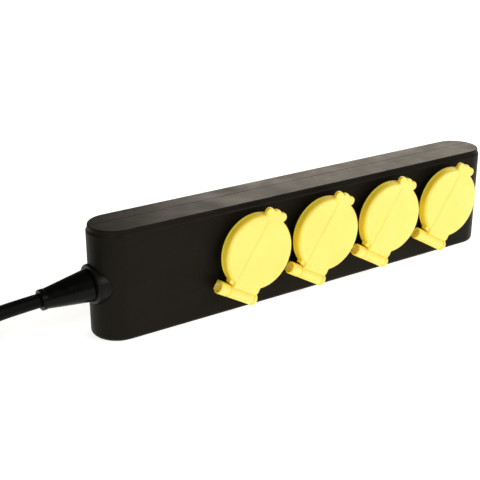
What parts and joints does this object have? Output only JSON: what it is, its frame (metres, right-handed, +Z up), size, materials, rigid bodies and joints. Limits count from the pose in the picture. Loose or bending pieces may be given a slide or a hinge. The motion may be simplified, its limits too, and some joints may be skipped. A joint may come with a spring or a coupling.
{
  "type": "outdoor extension socket strip",
  "caption": "Long flat black socket strip with rounded ends, a row of round sockets under sprung yellow flip lids, and a rubber mains cord with an earthed plug.",
  "frame": {"origin": "centre of the long narrow side that the strip stands on", "axes": "+X along the strip, away from the cord; +Z up; the sockets face -Y"},
  "size_m": [0.6205, 0.0718, 0.075],
  "materials": {
    "housing": "black moulded polyamide, fine grain",
    "insert_plastic": "black moulded thermoplastic",
    "seal_rubber": "soft black rubber",
    "zinc_steel": "zinc plated",
    "contact_brass": "pressed brass strip",
    "carrier_plastic": "natural moulded plastic",
    "lid_yellow": "signal yellow moulded plastic, satin",
    "pin_steel": "drawn wire",
    "core_brown": "wire insulation",
    "core_blue": "wire insulation",
    "core_green_yellow": "wire insulation",
    "gland_plastic": "black moulded plastic",
    "gland_rubber": "soft black rubber, slightly glossy",
    "cord_rubber": "black rubber jacket",
    "tie_plastic": "black strap",
    "plug_rubber": "black moulded rubber",
    "plug_plastic": "hard black plastic",
    "nickel_pin": "nickel plated brass"
  },
  "bodies": {
    "housing": {"bracket_screws": "zinc_steel", "cable_gland": "gland_plastic", "clamp_screws": "zinc_steel", "contact_carrier": "carrier_plastic", "cord": "cord_rubber", "cord_clamp": "carrier_plastic", "cord_hank": "cord_rubber", "cord_inner_end": "cord_rubber", "cord_tail": "cord_rubber", "earth_clip_1": "contact_brass", "earth_clip_2": "contact_brass", "earth_clip_3": "contact_brass", "earth_clip_4": "contact_brass", "earth_core": "core_green_yellow", "earth_rail": "contact_brass", "front_shell": "housing", "hank_ties": "tie_plastic", "hinge_bracket_1": "lid_yellow", "hinge_bracket_2": "lid_yellow", "hinge_bracket_3": "lid_yellow", "hinge_bracket_4": "lid_yellow", "hinge_pin_1": "pin_steel", "hinge_pin_2": "pin_steel", "hinge_pin_3": "pin_steel", "hinge_pin_4": "pin_steel", "housing_screws": "zinc_steel", "insert_seal_1": "seal_rubber", "insert_seal_2": "seal_rubber", "insert_seal_3": "seal_rubber", "insert_seal_4": "seal_rubber", "lid_spring_1": "pin_steel", "lid_spring_2": "pin_steel", "lid_spring_3": "pin_steel", "lid_spring_4": "pin_steel", "live_core": "core_brown", "live_rail": "contact_brass", "neutral_core": "core_blue", "neutral_rail": "contact_brass", "plug_body": "plug_rubber", "plug_earth_clips": "nickel_pin", "plug_face": "plug_plastic", "plug_pins": "nickel_pin", "rear_shell": "housing", "shell_seal": "seal_rubber", "socket_insert_1": "insert_plastic", "socket_insert_2": "insert_plastic", "socket_insert_3": "insert_plastic", "socket_insert_4": "insert_plastic", "strain_relief": "gland_rubber", "terminal_blocks": "contact_brass"},
    "lid_1": {"lid_1": "lid_yellow", "lid_seal_1": "seal_rubber"},
    "lid_2": {"lid_2": "lid_yellow", "lid_seal_2": "seal_rubber"},
    "lid_3": {"lid_3": "lid_yellow", "lid_seal_3": "seal_rubber"},
    "lid_4": {"lid_4": "lid_yellow", "lid_seal_4": "seal_rubber"}
  },
  "joints": [
    {"name": "lid_1_hinge", "type": "hinge", "parent": "housing", "child": "lid_1", "pos_m": [-0.0727, -0.0259, 0.01615], "axis": [0.866, 0, -0.5], "range_deg": [0, 90], "stiffness_Nm_per_rad": 0.012, "springref_deg": -34.38},
    {"name": "lid_2_hinge", "type": "hinge", "parent": "housing", "child": "lid_2", "pos_m": [-0.0146, -0.0259, 0.01615], "axis": [0.866, 0, -0.5], "range_deg": [0, 90], "stiffness_Nm_per_rad": 0.012, "springref_deg": -34.38},
    {"name": "lid_3_hinge", "type": "hinge", "parent": "housing", "child": "lid_3", "pos_m": [0.0435, -0.0259, 0.01615], "axis": [0.866, 0, -0.5], "range_deg": [0, 90], "stiffness_Nm_per_rad": 0.012, "springref_deg": -34.38},
    {"name": "lid_4_hinge", "type": "hinge", "parent": "housing", "child": "lid_4", "pos_m": [0.1016, -0.0259, 0.01615], "axis": [0.866, 0, -0.5], "range_deg": [0, 90], "stiffness_Nm_per_rad": 0.012, "springref_deg": -34.38}
  ]
}
